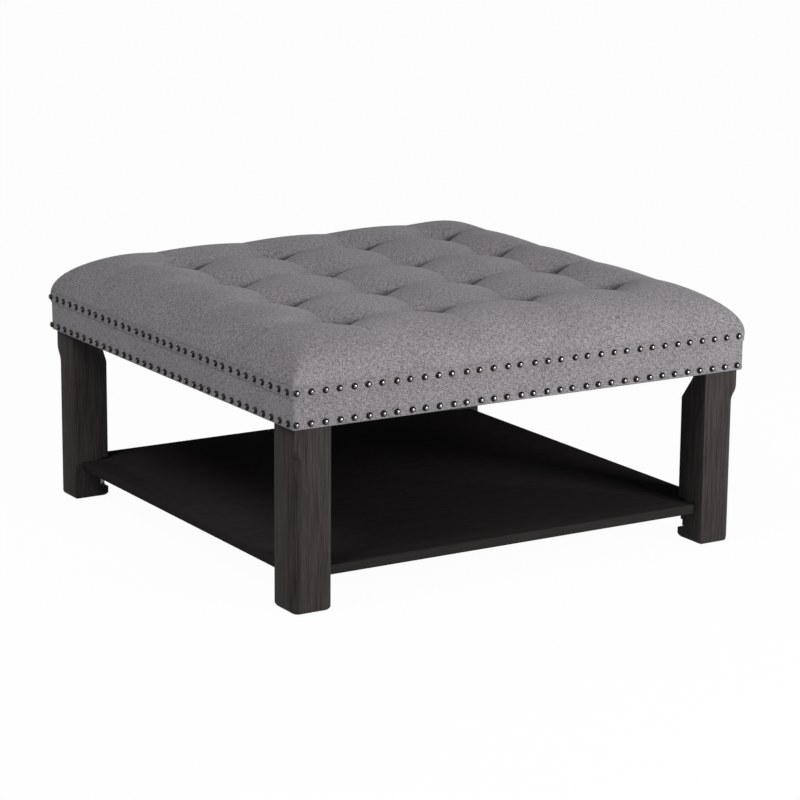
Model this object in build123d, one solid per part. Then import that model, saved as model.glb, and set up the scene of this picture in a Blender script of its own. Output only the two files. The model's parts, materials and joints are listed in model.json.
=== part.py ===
from build123d import *
import math
import os

# Square ottoman coffee table: a tufted, upholstered top on four square wooden legs,
# with an open wooden shelf near the floor. Millimetres, +Z up, +X to the right along
# the front, origin on the floor under the centre of the top.

# Overall sizes, over the covered frame
top_w = 864
top_d = 864
apron_z = 300
corner_r = 5

# Legs
leg_s = 64
leg_inset = 8
leg_foot_bevel = 4
edge_chamfer = 12
tongue_low = 58
tongue_high = 25
block_flat = 29
block_flat_run = 43
shelf_notch = 16
shelf_notch_low = 20.5
shelf_notch_spare = 3
shelf_notch_r = 4

# Glides under the legs
glide_t = 3
glide_d = 28
glide_pin_d = 3
glide_pin_len = 15

# Frame: four rails, a cross rail, a plywood deck and four corner blocks
rail_t = 18
cross_rail_t = 20
cross_rail_h = 40
cross_rail_gap = 5
deck_t = 12
block_t = 25
block_h = 38
block_gap = 3
block_headroom = 4

# Cover, its hem turned under the rails, the nailhead band and the dust cover
cover_t = 3
hem_t = 1.5
band_t = 1.2
band_h = 18
band_corner_r = 3
dust_t = 0.6
dust_inset = 10

# Cushion
foam_t = 30
foam_inset = 32
cushion_rise = 95
cushion_lip = 4.5
crown_run = 178
tuft_columns = 4
tuft_rows = 4
pleat_drop = 18
tuft_drop = 52
inner_drop = 5
inner_power = 3
corner_blend = 5
rim_first = 1.3
rim_lift_share = 0.3
rim_shares = (0, 0.35, 0.65, 0.9)
rim_turns = (16, 34, 54)
bay_steps = 4
shoulder_steps = 2
tie_d = 3
tie_bore = 8
tie_grip = 6
tie_knot_d = 8
tie_knot_t = 4
tuft_washer_d = 32
tuft_washer_t = 2

# Nailheads: two rows on each side, set by hand, so not quite evenly
nails_per_row = 34
nail_d = 10.5
nail_rise = 3.6
nail_flat_d = 5
nail_facets = 6
nail_lead = 6
nail_tail = 14
nail_wander = 3
nail_wobble = 1.4
nail_drift_beat = 4
nail_wobble_beat = 2.4
upper_row_phase = 4
lower_row_phase = 1
lower_row_up = 9
upper_row_up = 59

# Shelf and its brackets
shelf_top = 71
shelf_t = 16
shelf_inset = 16
shelf_edge_bevel = 1.5
bracket_t = 2
bracket_w = 26
bracket_drop = 28
bracket_reach = 30
bracket_screw_share = 0.6

# Fasteners, as shank, head width and head height, and the lengths that hold
bolt_d = 8
bolt_in_leg = 30
bolt_tail = 14
bolt_spread = 20
bolt_washer_d = 22
bolt_washer_t = 1.6
nut_af = 13
nut_t = 6.5
screw_d = 4
screw_head_d = 8
screw_head_t = 3
block_screw_len = 31
deck_screw_len = 34
deck_screws_per_rail = 4
cross_screw_len = 50
cross_screw_apart = 20
shelf_screw_len = 14
shelf_bolt_d = 6
shelf_bolt_len = 27
shelf_bolt_head_d = 10
shelf_bolt_head_t = 4
inner_facets = 6
bracket_facets = 8
glide_facets = 16

# Clearances
fit = 0.1
seat = 0.3
overrun = 5

# Heights and half widths that follow from the sizes above
half_w = top_w / 2
half_d = top_d / 2
rail_z = apron_z + hem_t
rail_h = max(block_gap + block_h + block_headroom, cross_rail_gap + cross_rail_h)
rail_top = rail_z + rail_h
deck_top = rail_top + deck_t
crown_z = deck_top + cushion_lip
frame_w = half_w - cover_t
frame_d = half_d - cover_t
rail_in_x = frame_w - rail_t
rail_in_y = frame_d - rail_t
leg_out_x = half_w - leg_inset
leg_out_y = half_d - leg_inset
leg_in_x = leg_out_x - leg_s
leg_in_y = leg_out_y - leg_s
shelf_z = shelf_top - shelf_t
root2 = math.sqrt(2)
pitch_x = top_w / (tuft_columns + 1)
pitch_y = top_d / (tuft_rows + 1)
tuft_xs = [pitch_x * (i + 1) - half_w for i in range(tuft_columns)]
tuft_ys = [pitch_y * (j + 1) - half_d for j in range(tuft_rows)]
corners = {"front_left": (-1, -1), "front_right": (1, -1), "back_left": (-1, 1), "back_right": (1, 1)}


def slab(x0, x1, y0, y1, z0, z1):
    """A box between two corners."""
    return Pos((x0 + x1) / 2, (y0 + y1) / 2, (z0 + z1) / 2) * Box(x1 - x0, y1 - y0, z1 - z0)


def rounded_slab(w, d, r, z0, z1):
    """An upright block of half widths w and d, with its upright edges rounded."""
    return Pos(0, 0, z0) * extrude(RectangleRounded(2 * w, 2 * d, r), z1 - z0)


def to_corner(solid, sx, sy):
    """Carries a piece made for the back right corner to another corner."""
    if sx < 0 and sy < 0:
        return Rot(0, 0, 180) * solid
    if sx < 0:
        return mirror(solid, Plane.YZ)
    return mirror(solid, Plane.XZ) if sy < 0 else solid


def diagonal_plane(x, y):
    """The upright plane through a corner's diagonal: its x runs outward and its y runs up."""
    return Plane(origin=(x, y, 0), x_dir=(1, 1, 0), z_dir=(1, -1, 0))


def on_diagonal(x, y, edges, width):
    """A bar across the diagonal, with the outline that the edges close on that plane."""
    outline = diagonal_plane(x, y) * make_face(Curve() + edges)
    return extrude(outline, width / 2, both=True)


def rod(start, direction, d, length, facets=inner_facets):
    """A rod from a point, in a direction, with the few facets that stand in for a round one."""
    return Plane(origin=start, z_dir=direction) * extrude(RegularPolygon(d / 2, facets), length)


def screw(head, direction, length, spare=0, sizes=(screw_d, screw_head_d, screw_head_t), facets=inner_facets):
    """A screw whose head's outer face is at a point; spare widens it into the hole that takes it."""
    d, head_d, head_t = sizes
    shank = rod(head, direction, d + 2 * spare, length + spare, facets)
    return shank + rod(head, direction, head_d + 2 * spare, head_t, facets)


# Legs

def tongue_cutter():
    """Takes the outer edge off a leg, up to the S-curve that brings the edge back to square."""
    depth = edge_chamfer / root2
    low, high = apron_z - tongue_low, apron_z - tongue_high
    middle = (-depth / 2, (low + high) / 2)
    edges = [
        Line((overrun, -overrun), (-depth, -overrun)),
        Line((-depth, -overrun), (-depth, low)),
        TangentArc((-depth, low), middle, tangent=(0, 1)),
        TangentArc((0, high), middle, tangent=(0, -1)),
        Line((0, high), (overrun, high)),
        Line((overrun, high), (overrun, -overrun)),
    ]
    return on_diagonal(leg_out_x, leg_out_y, edges, leg_s)


def block_flat_cutter():
    """The flat for the corner block, with the run-out that the saw leaves below the frame."""
    depth = block_flat / root2
    low = apron_z - block_flat_run
    edges = [
        TangentArc((0, low), (depth, apron_z), tangent=(0, 1)),
        Line((depth, apron_z), (depth, rail_top + overrun)),
        Line((depth, rail_top + overrun), (-overrun, rail_top + overrun)),
        Line((-overrun, rail_top + overrun), (-overrun, low)),
        Line((-overrun, low), (0, low)),
    ]
    return on_diagonal(leg_in_x, leg_in_y, edges, leg_s)


def notch_cutter():
    """The notch that takes the shelf's corner, open below the shelf for its bracket."""
    depth = shelf_notch / root2
    low, high, r = shelf_notch_low, shelf_top + shelf_notch_spare, shelf_notch_r
    edges = [
        Line((-overrun, low), (depth - r, low)),
        TangentArc((depth - r, low), (depth, low + r), tangent=(1, 0)),
        Line((depth, low + r), (depth, high)),
        Line((depth, high), (-overrun, high)),
        Line((-overrun, high), (-overrun, low)),
    ]
    return on_diagonal(leg_in_x, leg_in_y, edges, leg_s)


def leg():
    """One leg: a square post, rebated at its top to stand inside the frame."""
    post = slab(leg_in_x, leg_out_x, leg_in_y, leg_out_y, glide_t, apron_z)
    post = chamfer(post.faces().sort_by(Axis.Z)[0].edges(), leg_foot_bevel)
    tenon = slab(leg_in_x, rail_in_x, leg_in_y, rail_in_y, apron_z, rail_top)
    solid = post + tenon - tongue_cutter() - block_flat_cutter() - notch_cutter()
    for bolt in hanger_bolt_pair(fit):
        solid -= bolt
    return solid - shelf_bolt(fit) - glide(fit)


def glide(spare=0):
    """A nailed-on nylon glide; with spare, the hole for its pin."""
    x, y = (leg_in_x + leg_out_x) / 2, (leg_in_y + leg_out_y) / 2
    pin = rod((x, y, 0), (0, 0, 1), glide_pin_d + 2 * spare, glide_t + glide_pin_len + spare)
    return pin if spare else pin + rod((x, y, 0), (0, 0, 1), glide_d, glide_t, glide_facets)


# Corner blocks and hanger bolts

block_out = block_flat / root2
block_mid_z = rail_z + block_gap + block_h / 2
bolt_heights = [block_mid_z - bolt_spread / 2, block_mid_z + bolt_spread / 2]


def from_leg(distance, z):
    """The point that lies on the corner's diagonal, this far out from the leg's inner edge."""
    return (leg_in_x + distance / root2, leg_in_y + distance / root2, z)


def hanger_bolt_pair(spare=0):
    """Two hanger bolts, from inside the leg through the corner block."""
    length = bolt_in_leg + block_t + bolt_tail + spare
    start = block_out + bolt_in_leg + spare
    return [rod(from_leg(start, z), (-1, -1, 0), bolt_d + 2 * spare, length) for z in bolt_heights]


def hanger_washers():
    inner = block_out - block_t
    rings = []
    for z in bolt_heights:
        ring = rod(from_leg(inner, z), (-1, -1, 0), bolt_washer_d, bolt_washer_t)
        rings.append(ring - rod(from_leg(inner, z), (-1, -1, 0), bolt_d + 2 * fit, bolt_washer_t))
    return rings


def hanger_nuts():
    inner = block_out - block_t - bolt_washer_t
    nuts = []
    for z in bolt_heights:
        hexagon = RegularPolygon(nut_af / 2, 6, major_radius=False) - RegularPolygon(
            bolt_d / 2 + fit, inner_facets)
        nuts.append(Plane(origin=from_leg(inner, z), z_dir=(-1, -1, 0)) * extrude(hexagon, nut_t))
    return nuts


def block_screw_mouths():
    """Where a corner block's two screws start on its inner face, and which way each runs."""
    line = leg_in_x + leg_in_y + (block_out - block_t) * root2
    y_mid = line - rail_in_x + block_t / root2
    x_mid = line - rail_in_y + block_t / root2
    return [(Vector(line - y_mid, y_mid, block_mid_z), Vector(1, 0, 0)),
            (Vector(x_mid, line - x_mid, block_mid_z), Vector(0, 1, 0))]


def block_screws(spare=0):
    """One screw through each end of a corner block into its rail."""
    return [screw(mouth + way * screw_head_t, way, block_screw_len, spare)
            for mouth, way in block_screw_mouths()]


def corner_block():
    """A block across the corner, mitred to both rails, that the leg is bolted to."""
    line = leg_in_x + leg_in_y + block_out * root2
    back = line - block_t * root2
    outline = Polyline(
        (rail_in_x, line - rail_in_x), (line - rail_in_y, rail_in_y),
        (back - rail_in_y, rail_in_y), (rail_in_x, back - rail_in_x), close=True)
    solid = Pos(0, 0, rail_z + block_gap) * extrude(make_face(outline), block_h)
    for bolt in hanger_bolt_pair(fit):
        solid -= bolt
    for mouth, way in block_screw_mouths():
        pocket_len = screw_head_d + 2 * screw_head_t
        solid -= rod(mouth - way * screw_head_d, way, screw_head_d + 2 * fit, pocket_len)
    return solid - block_screws(fit)


# Frame rails, cross rail and deck

def deck_screw_spots():
    """Where the deck is screwed down, as places along the middle of each rail."""
    spots = []
    for k in range(deck_screws_per_rail):
        share = (k + 1) / (deck_screws_per_rail + 1) * 2 - 1
        for side in (-1, 1):
            spots.append((share * rail_in_x, side * (frame_d - rail_t / 2)))
            spots.append((side * (frame_w - rail_t / 2), share * rail_in_y))
    return spots


def deck_screws(spare=0):
    return [screw((x, y, deck_top), (0, 0, -1), deck_screw_len, spare) for x, y in deck_screw_spots()]


def cross_screws(spare=0):
    """Screws through the side rails into the ends of the cross rail."""
    z_mid = rail_top - cross_rail_h / 2
    return [screw((side * frame_w, 0, z_mid + up * cross_screw_apart / 2), (-side, 0, 0),
                  cross_screw_len, spare) for side in (-1, 1) for up in (-1, 1)]


def bored(solid, cutters):
    """A piece less the holes whose boxes reach it."""
    box = solid.bounding_box()
    near = [c for c in cutters if c.bounding_box().overlaps(box)]
    return solid - near if near else solid


def rails():
    """Front and back rails run the full width; the side rails fit between them."""
    round_r = corner_r - cover_t
    made = {}
    holes = deck_screws(fit) + cross_screws(fit)
    for sx, sy in corners.values():
        holes += [to_corner(s, sx, sy) for s in block_screws(fit)]
    for name, side in (("front", -1), ("back", 1)):
        y0, y1 = sorted((side * frame_d, side * rail_in_y))
        rail = slab(-frame_w, frame_w, y0, y1, rail_z, rail_top)
        outer = rail.edges().filter_by(Axis.Z).group_by(Axis.Y)[0 if side < 0 else -1]
        made["rail_" + name] = bored(fillet(outer, round_r), holes)
    for name, side in (("left", -1), ("right", 1)):
        x0, x1 = sorted((side * frame_w, side * rail_in_x))
        made["rail_" + name] = bored(slab(x0, x1, -rail_in_y, rail_in_y, rail_z, rail_top), holes)
    half_t = cross_rail_t / 2
    cross = slab(-rail_in_x, rail_in_x, -half_t, half_t, rail_top - cross_rail_h, rail_top)
    made["cross_rail"] = bored(cross, holes)
    return made


def deck_panel():
    """The plywood deck under the foam, bored for the tuft ties."""
    solid = rounded_slab(frame_w, frame_d, corner_r - cover_t, rail_top, deck_top)
    ties = [rod((x, y, rail_top), (0, 0, 1), tie_bore, deck_t) for x in tuft_xs for y in tuft_ys]
    return solid - ties - deck_screws(fit)


# Cushion: a foam block, and over it the padded, tufted cover

def arch(share):
    """A low arch between two pleats: nought at each pleat and one midway."""
    return 4 * share * (1 - share)


def bay_of(place, half, pitch):
    """How far a place lies from the edge, its arch between pleats, and how much pleats show there."""
    edge = half - abs(place)
    if edge < pitch:
        share = 1 - edge / pitch
        return edge, 1 - (1 - share) ** 2, 1 - share
    share = (edge / pitch) % 1
    return edge, arch(share), 1


def quarter_crown(edge):
    """Rise of the plain crown at a distance from the edge: a quarter of an ellipse."""
    left = max(0, 1 - edge / crown_run)
    return cushion_rise * math.sqrt(max(0, 1 - left ** 2))


def crown(x, y):
    """Height of the cushion's top: the two crowns blended at the hips, less pleats and tufts."""
    edge_x, arch_x, shown_x = bay_of(x, half_w, pitch_x)
    edge_y, arch_y, shown_y = bay_of(y, half_d, pitch_y)
    rise_x, rise_y = quarter_crown(edge_x), quarter_crown(edge_y)
    if min(rise_x, rise_y) <= 0:
        return crown_z
    blend = ((rise_x / cushion_rise) ** -corner_blend + (rise_y / cushion_rise) ** -corner_blend
             - 1) ** (-1 / corner_blend)
    low_x, low_y = (1 - arch_x) * shown_y, (1 - arch_y) * shown_x
    dip = pleat_drop * (low_x + low_y) + (tuft_drop - 2 * pleat_drop) * low_x * low_y
    dip += inner_drop * (shown_x * shown_y) ** inner_power
    return crown_z + cushion_rise * blend - dip * blend


def section_xs(edge):
    """Places of a section's points: close together over each rim, then evenly over each bay."""
    height = quarter_crown(edge) / cushion_rise
    rim = [half_w - crown_run * (1 - math.sqrt(1 - (share * height) ** 2)) for share in rim_shares]
    shoulder_step = (tuft_xs[-1] - rim[-1]) / shoulder_steps
    outer = rim + [rim[-1] + shoulder_step * k for k in range(1, shoulder_steps)]
    middle = [tuft_xs[0] + pitch_x * k / bay_steps for k in range(bay_steps * (tuft_columns - 1) + 1)]
    return [-x for x in outer] + middle + outer[::-1]


def section(y):
    """One section across the cushion: short straight runs over the top, pressed low at the very edge."""
    edge = max(rim_first, half_d - abs(y))
    lift = 1 if half_d - abs(y) >= rim_first else rim_lift_share
    inside = math.copysign(half_d - edge, y)
    points = [(x, crown_z + lift * (crown(x, inside) - crown_z)) for x in section_xs(edge)]
    outline = Polyline(*points, (half_w, deck_top), (-half_w, deck_top), close=True)
    return Plane(origin=(0, y, 0), x_dir=(1, 0, 0), z_dir=(0, -1, 0)) * make_face(outline)


def cushion():
    """The padded cover: one loft for each bay between pleats, so the pleats stay sharp."""
    rim = [crown_run * (1 - math.cos(math.radians(turn))) for turn in rim_turns]
    front = [-half_d] + [-half_d + run for run in rim if run < pitch_y] + [tuft_ys[0]]
    bays = [front, [-y for y in front[::-1]]]
    for y in tuft_ys[:-1]:
        bays.append([y + pitch_y * k / bay_steps for k in range(bay_steps + 1)])
    solid = Part() + [loft([section(y) for y in bay], ruled=True) for bay in bays]
    solid -= slab(-half_w + foam_inset, half_w - foam_inset, -half_d + foam_inset, half_d - foam_inset,
                  deck_top, deck_top + foam_t)
    top = deck_top + foam_t
    return solid - [rod((x, y, top), (0, 0, 1), tie_d + 2 * seat, tie_grip + seat)
                    for x in tuft_xs for y in tuft_ys]


def foam_block():
    """The firm foam under the crown, bored for the tuft ties."""
    solid = slab(-half_w + foam_inset, half_w - foam_inset, -half_d + foam_inset, half_d - foam_inset,
                 deck_top, deck_top + foam_t)
    return solid - [rod((x, y, deck_top), (0, 0, 1), tie_bore, foam_t) for x in tuft_xs for y in tuft_ys]


def tuft_ties():
    """The ties that pull the tufts down, each knotted under its washer."""
    ties = []
    for x in tuft_xs:
        for y in tuft_ys:
            low = rail_top - tuft_washer_t - tie_knot_t
            length = deck_top + foam_t + tie_grip - low
            ties.append(rod((x, y, low), (0, 0, 1), tie_d, length)
                        + rod((x, y, low), (0, 0, 1), tie_knot_d, tie_knot_t))
    return ties


def tuft_washers():
    low = rail_top - tuft_washer_t
    return [rod((x, y, low), (0, 0, 1), tuft_washer_d, tuft_washer_t)
            - rod((x, y, low), (0, 0, 1), tie_d + 2 * seat, tuft_washer_t)
            for x in tuft_xs for y in tuft_ys]


# Cover, band and dust cover

def apron_cover():
    """The cover pulled down over the rails, with its hem turned in under them."""
    outer = rounded_slab(half_w, half_d, corner_r, apron_z, deck_top)
    outer -= rounded_slab(frame_w, frame_d, corner_r - cover_t, rail_z, deck_top)
    return outer - slab(-rail_in_x, rail_in_x, -rail_in_y, rail_in_y, apron_z, rail_z)


def nail_band():
    """The narrow band of the same cloth that the upper nails go through."""
    middle = apron_z + upper_row_up
    low, high = middle - band_h / 2, middle + band_h / 2
    grown = seat + band_t
    ring = rounded_slab(half_w + grown, half_d + grown, band_corner_r, low, high)
    return ring - slab(-half_w - seat, half_w + seat, -half_d - seat, half_d + seat, low, high)


def dust_cover():
    """The thin black cloth stapled up under the frame, cut round the legs."""
    w, d = half_w - dust_inset, half_d - dust_inset
    solid = slab(-w, w, -d, d, apron_z - dust_t, apron_z)
    for sx, sy in corners.values():
        x, y = leg_in_x - seat, leg_in_y - seat
        solid -= to_corner(slab(x, half_w, y, half_d, apron_z - dust_t, apron_z), sx, sy)
    return solid


# Nailheads

def nailhead():
    """One domed head, faceted by the hammer, with its seat on the XY plane."""
    drawn_in = (nail_d - nail_flat_d) / 2 * math.cos(math.pi / nail_facets)
    lean = math.degrees(math.atan(drawn_in / nail_rise))
    return extrude(RegularPolygon(nail_d / 2, nail_facets), nail_rise, taper=lean)


def nail_places(length, phase):
    """Places along one side, counted from its first corner, with the unevenness of handwork."""
    pitch = (length - nail_lead - nail_tail) / (nails_per_row - 1)
    places = []
    for i in range(nails_per_row):
        share = i / (nails_per_row - 1)
        drift = nail_wander * math.sin(math.pi * share) * math.sin(phase + nail_drift_beat * share)
        drift += nail_wobble * math.sin(math.pi * share) * math.sin(nail_wobble_beat * i + phase)
        places.append(nail_lead + pitch * i + drift)
    return places


def nail_row(side, z, stand, phase):
    """A row of nailheads along one side, walking round the table counter-clockwise from above."""
    starts = {"front": (-half_w, -half_d, 1, 0), "right": (half_w, -half_d, 0, 1),
              "back": (half_w, half_d, -1, 0), "left": (-half_w, half_d, 0, -1)}
    x, y, along_x, along_y = starts[side]
    out = (along_y, -along_x, 0)
    head = nailhead()
    length = top_w if along_x else top_d
    row = []
    for place in nail_places(length, phase):
        spot = (x + along_x * place + out[0] * stand, y + along_y * place + out[1] * stand, z)
        row.append(Plane(origin=spot, x_dir=(0, 0, 1), z_dir=out) * head)
    return row


# Shelf and brackets

def shelf():
    """The shelf board: its corners go round the legs and seat on their notches."""
    w, d = leg_out_x - shelf_inset, leg_out_y - shelf_inset
    x, y = leg_in_x - seat, leg_in_y - seat
    across = shelf_notch - seat
    quarter = [(w, y), (x + across, y), (x, y + across), (x, d)]
    outline = []
    for sx, sy in ((1, 1), (-1, 1), (-1, -1), (1, -1)):
        points = [(sx * px, sy * py) for px, py in quarter]
        outline += points if sx * sy > 0 else points[::-1]
    board = Pos(0, 0, shelf_z) * extrude(make_face(Polyline(*outline, close=True)), shelf_t)
    rims = [e for e in board.edges() if abs(e.center().X) > w - fit or abs(e.center().Y) > d - fit]
    board = chamfer(ShapeList(rims) - ShapeList(rims).filter_by(Axis.Z), shelf_edge_bevel)
    for sx, sy in corners.values():
        board -= to_corner(shelf_screw(fit), sx, sy)
    return board


notch_face = shelf_notch / root2


def shelf_bracket():
    """A small steel angle on the leg's notch, under the shelf's corner."""
    edges = Polyline(
        (notch_face, shelf_z - bracket_drop), (notch_face, shelf_z),
        (notch_face - bracket_reach, shelf_z), (notch_face - bracket_reach, shelf_z - bracket_t),
        (notch_face - bracket_t, shelf_z - bracket_t), (notch_face - bracket_t, shelf_z - bracket_drop),
        close=True)
    return on_diagonal(leg_in_x, leg_in_y, edges, bracket_w) - shelf_screw(fit) - shelf_bolt(fit)


def shelf_screw(spare=0):
    """Up through the bracket into the shelf."""
    head = from_leg(notch_face - bracket_reach * bracket_screw_share, shelf_z - bracket_t - screw_head_t)
    return screw(head, (0, 0, 1), shelf_screw_len + screw_head_t, spare, facets=bracket_facets)


def shelf_bolt(spare=0):
    """Through the bracket's upright leaf into the leg."""
    head = from_leg(notch_face - bracket_t - shelf_bolt_head_t, shelf_z - bracket_drop / 2 - bracket_t)
    sizes = (shelf_bolt_d, shelf_bolt_head_d, shelf_bolt_head_t)
    return screw(head, (1, 1, 0), shelf_bolt_len + shelf_bolt_head_t, spare, sizes, bracket_facets)


# Every piece under its own name

nodes = {}
for name, (sx, sy) in corners.items():
    nodes["leg_" + name] = to_corner(leg(), sx, sy)
    nodes["corner_block_" + name] = to_corner(corner_block(), sx, sy)
    nodes["shelf_bracket_" + name] = to_corner(shelf_bracket(), sx, sy)

groups = {"leg_glides": [], "hanger_bolts": [], "hanger_washers": [], "hanger_nuts": [],
          "corner_block_screws": [], "shelf_bracket_screws": [], "shelf_leg_bolts": []}
for sx, sy in corners.values():
    groups["leg_glides"].append(to_corner(glide(), sx, sy))
    groups["hanger_bolts"] += [to_corner(s, sx, sy) for s in hanger_bolt_pair()]
    groups["hanger_washers"] += [to_corner(s, sx, sy) for s in hanger_washers()]
    groups["hanger_nuts"] += [to_corner(s, sx, sy) for s in hanger_nuts()]
    groups["corner_block_screws"] += [to_corner(s, sx, sy) for s in block_screws()]
    groups["shelf_bracket_screws"].append(to_corner(shelf_screw(), sx, sy))
    groups["shelf_leg_bolts"].append(to_corner(shelf_bolt(), sx, sy))
groups["deck_screws"] = deck_screws()
groups["cross_rail_screws"] = cross_screws()
groups["tuft_ties"] = tuft_ties()
groups["tuft_washers"] = tuft_washers()
for k, side in enumerate(("front", "right", "back", "left")):
    groups["nails_upper_" + side] = nail_row(side, apron_z + upper_row_up, seat + band_t, upper_row_phase + k)
    groups["nails_lower_" + side] = nail_row(side, apron_z + lower_row_up, 0, lower_row_phase + 2 * k)

nodes.update(rails())
nodes["deck_panel"] = deck_panel()
nodes["foam_block"] = foam_block()
nodes["tufted_cushion"] = cushion()
nodes["apron_cover"] = apron_cover()
nodes["nail_band"] = nail_band()
nodes["dust_cover"] = dust_cover()
nodes["shelf_panel"] = shelf()
for name, solids in groups.items():
    nodes[name] = Compound([s for piece in solids for s in piece.solids()])

os.makedirs("parts", exist_ok=True)
for name, shape in nodes.items():
    export_step(shape, "parts/" + name + ".step")
    print(name, len(shape.solids()), round(shape.volume))
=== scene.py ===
import bpy
import json
import math
import numpy as np
from mathutils import Matrix, Vector

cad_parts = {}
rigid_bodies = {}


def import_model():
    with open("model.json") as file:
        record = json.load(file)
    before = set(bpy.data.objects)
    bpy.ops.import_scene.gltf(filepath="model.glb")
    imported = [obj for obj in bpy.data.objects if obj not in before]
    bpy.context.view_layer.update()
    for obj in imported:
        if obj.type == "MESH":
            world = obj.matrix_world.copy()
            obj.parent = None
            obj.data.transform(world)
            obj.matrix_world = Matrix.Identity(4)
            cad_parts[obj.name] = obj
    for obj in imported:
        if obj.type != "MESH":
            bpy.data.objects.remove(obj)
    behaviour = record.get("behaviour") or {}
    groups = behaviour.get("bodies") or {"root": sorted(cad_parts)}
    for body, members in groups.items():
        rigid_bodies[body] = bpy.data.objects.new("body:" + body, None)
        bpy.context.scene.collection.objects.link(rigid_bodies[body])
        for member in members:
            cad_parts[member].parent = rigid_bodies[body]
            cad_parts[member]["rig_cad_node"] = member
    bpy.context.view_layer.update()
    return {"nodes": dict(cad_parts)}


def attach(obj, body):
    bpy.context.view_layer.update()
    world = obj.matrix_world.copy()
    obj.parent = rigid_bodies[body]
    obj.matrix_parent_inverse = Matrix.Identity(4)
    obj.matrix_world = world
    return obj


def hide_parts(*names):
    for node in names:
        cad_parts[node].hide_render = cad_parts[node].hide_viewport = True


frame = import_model()

# The wooden frame
# Four sawn softwood rails, screwed at the corners, with a cross rail between the side rails
# and a mitred block across each corner. Screws go through each end of a block.


class Wire:
    """A shader socket in an expression: sums and products on it add Math nodes."""

    def __init__(self, tree, socket=None):
        self.tree = tree
        self.socket = socket

    def fill(self, node, inputs):
        """Sets or links a node's sockets."""
        for key, value in inputs.items():
            if isinstance(value, Wire):
                self.tree.links.new(value.socket, node.inputs[key])
            else:
                node.inputs[key].default_value = value

    def node(self, kind, inputs, output=0, **settings):
        """Adds any node: its settings first, then the values or wires of its sockets."""
        made = self.tree.nodes.new(kind)
        for setting, value in settings.items():
            if setting == "stops":
                for stop, (place, tone) in zip(made.color_ramp.elements, value):
                    stop.position = place
                    stop.color = (tone, tone, tone, 1)
            else:
                setattr(made, setting, value)
        self.fill(made, inputs)
        return Wire(self.tree, made.outputs[output])

    def maths(self, operation, first, second):
        return self.node("ShaderNodeMath", {0: first, 1: second}, operation=operation)

    def __add__(self, other):
        return self.maths("ADD", self, other)

    def __mul__(self, other):
        return self.maths("MULTIPLY", self, other)

    def __sub__(self, other):
        return self.maths("SUBTRACT", self, other)

    def __rsub__(self, other):
        return self.maths("SUBTRACT", other, self)

    __radd__ = __add__
    __rmul__ = __mul__

    def sine(self):
        return self.node("ShaderNodeMath", {0: self}, operation="SINE")

    def ramp(self, *stops):
        """A grey between two stops, each a place and a tone."""
        return self.node("ShaderNodeValToRGB", {0: self}, stops=stops)

    def tint(self, dark, light):
        """A colour between two, by this wire."""
        return self.node("ShaderNodeMix", {0: self, 6: (*dark, 1), 7: (*light, 1)}, 2, data_type="RGBA")

    def noise(self, place, scale, stretch=(1, 1, 1), detail=2, roughness=0.5):
        """Noise read at a place, with its own scale along each axis."""
        run = self.node("ShaderNodeMapping", {"Vector": place, "Scale": stretch})
        return self.node("ShaderNodeTexNoise", {"Vector": run, "Scale": scale, "Detail": detail,
                                                "Roughness": roughness})


def new_finish(name):
    """A material, the wire that its nodes start from, and the object's own coordinates."""
    material = bpy.data.materials.new(name)
    material.use_nodes = True
    start = Wire(material.node_tree)
    return material, start, start.node("ShaderNodeTexCoord", {}, "Object")


def coat(start, height=None, distance=0.0002, **sockets):
    """Fills the main shader's sockets. A height of 0 to 1 makes relief of this distance in metres."""
    if height is not None:
        bump = start.node("ShaderNodeBump", {"Height": height, "Distance": distance, "Strength": 1})
        sockets["Normal"] = bump
    names = {name.replace("_", " "): value for name, value in sockets.items()}
    start.fill(start.tree.nodes["Principled BSDF"], names)


def clothe(piece, material):
    """Gives a piece, new or carried over from the CAD, one material."""
    piece.data.materials.clear()
    piece.data.materials.append(material)
    for face in piece.data.polygons:
        face.material_index = 0


def clothe_nodes(material, *nodes):
    """Gives pieces carried over from the CAD one material."""
    for node in nodes:
        clothe(frame["nodes"][node], material)


def raw_wood(name, stretch, dark, light):
    """Sawn, unfinished wood: broad bands of growth under short fibres."""
    material, start, place = new_finish(name)
    bands = start.noise(place, scale=60, stretch=stretch)
    fibres = start.noise(place, scale=900, stretch=stretch, detail=3, roughness=0.7)
    growth = bands * 0.6 + fibres * 0.4
    coat(start, height=fibres, distance=0.0003, Base_Color=growth.tint(dark, light),
         Roughness=0.75 + fibres * 0.15)
    return material


pale_wood, deep_wood, along_grain = (0.62, 0.46, 0.28), (0.42, 0.27, 0.14), 0.04
along_x = raw_wood("sawn softwood along X", (along_grain, 1, 1), deep_wood, pale_wood)
along_y = raw_wood("sawn softwood along Y", (1, along_grain, 1), deep_wood, pale_wood)
upright = raw_wood("sawn softwood upright", (1, 1, along_grain), deep_wood, pale_wood)
corners = ("front_left", "front_right", "back_left", "back_right")
clothe_nodes(along_x, "rail_front", "rail_back", "cross_rail")
clothe_nodes(along_y, "rail_left", "rail_right")
clothe_nodes(upright, *("corner_block_" + corner for corner in corners))


def zinc_plate(name, dark, light):
    """Zinc-plated steel, with faint clouding from the bath."""
    material, start, place = new_finish(name)
    clouds = start.noise(place, scale=180, detail=3)
    coat(start, Base_Color=clouds.tint(dark, light), Roughness=0.28 + clouds * 0.2, Metallic=1.0)
    return material


zinc = zinc_plate("zinc plate", (0.42, 0.43, 0.45), (0.62, 0.63, 0.65))
clothe_nodes(zinc, "corner_block_screws", "cross_rail_screws")

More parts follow.
